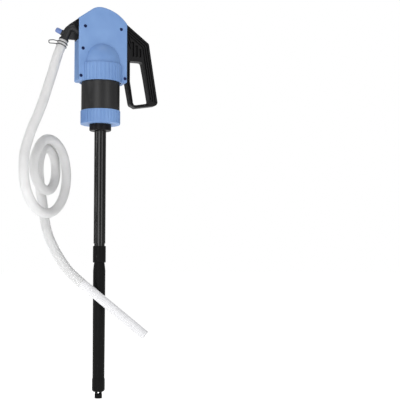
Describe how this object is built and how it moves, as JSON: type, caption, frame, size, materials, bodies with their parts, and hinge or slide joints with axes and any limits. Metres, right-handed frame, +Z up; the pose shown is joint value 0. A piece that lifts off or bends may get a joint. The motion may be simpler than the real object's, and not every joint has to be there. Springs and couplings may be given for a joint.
{
  "type": "drum barrel pump",
  "caption": "Lever-action drum pump: two-part housing over a piston barrel, bung thread, jointed suction tube with foot valve, D-handle lever, spout and a looped clear hose with nozzle.",
  "frame": {"origin": "on the pump's axis, in the seat plane on top of the bung thread (underside of the lower union nut)", "axes": "+Z up along the pump's axis, the suction tube hangs down -Z; the lever is on +X, the spout on -X, the front shell faces -Y"},
  "size_m": [0.4089, 0.2988, 1.0625],
  "materials": {
    "shell_blue": "moulded satin",
    "black_plastic": "moulded satin",
    "tube_black": "extruded, smooth",
    "steel": "bright zinc plated",
    "rubber": "matt",
    "acetal": "moulded natural white",
    "clear_pvc": "soft clear hose",
    "milky_pe": "extruded natural"
  },
  "bodies": {
    "pump_body": {"front_shell": "shell_blue", "rear_shell": "shell_blue", "upper_union_nut": "shell_blue", "lower_union_nut": "shell_blue", "shell_screws": "steel", "pump_barrel": "black_plastic", "cylinder_head": "black_plastic", "head_gasket": "rubber", "adapter_gasket": "rubber", "rod_guide": "acetal", "rod_seal": "rubber", "bung_adapter": "black_plastic", "upper_suction_tube": "tube_black", "tube_coupler": "tube_black", "lower_suction_tube": "tube_black", "foot_valve_body": "black_plastic", "foot_strainer": "black_plastic", "pivot_sleeve": "steel", "spout": "black_plastic", "spout_seal": "rubber", "hose_clamp": "steel", "hose_upper": "clear_pvc", "hose_coil": "clear_pvc", "hose_tail": "clear_pvc", "hose_nozzle": "milky_pe"},
    "lever_arm": {"lever": "black_plastic", "front_pivot_bush": "acetal", "rear_pivot_bush": "acetal"},
    "piston_group": {"piston": "acetal", "piston_seal": "rubber", "valve_spacer": "acetal", "valve_stop": "steel", "rod_nut": "steel", "piston_rod": "steel", "drive_rack": "acetal"},
    "valve_disc": {"piston_valve": "rubber"},
    "foot_ball": {"foot_valve_ball": "acetal"},
    "vent_plug": {"vent_knob": "shell_blue"}
  },
  "joints": [
    {"name": "lever_pivot", "type": "hinge", "parent": "pump_body", "child": "lever_arm", "pos_m": [0.051, 0, 0.264], "axis": [0, -1, 0], "range_deg": [0, 60]},
    {"name": "rod_slide", "type": "slide", "parent": "pump_body", "child": "piston_group", "axis": [0, 0, -1], "range_m": [0, 0.04084]},
    {"name": "piston_valve_lift", "type": "slide", "parent": "piston_group", "child": "valve_disc", "axis": [0, 0, 1], "range_m": [0, 0.0038]},
    {"name": "foot_valve_lift", "type": "slide", "parent": "pump_body", "child": "foot_ball", "axis": [0, 0, 1], "range_m": [0, 0.004]},
    {"name": "vent_turn", "type": "hinge", "parent": "pump_body", "child": "vent_plug", "pos_m": [-0.09874, 0, 0.24068], "axis": [-0.9135, 0, 0.4067], "range_deg": [0, 90]}
  ],
  "couplings": [
    {"joint": "lever_pivot", "follows": "rod_slide", "rad_per_m": 25.641}
  ]
}
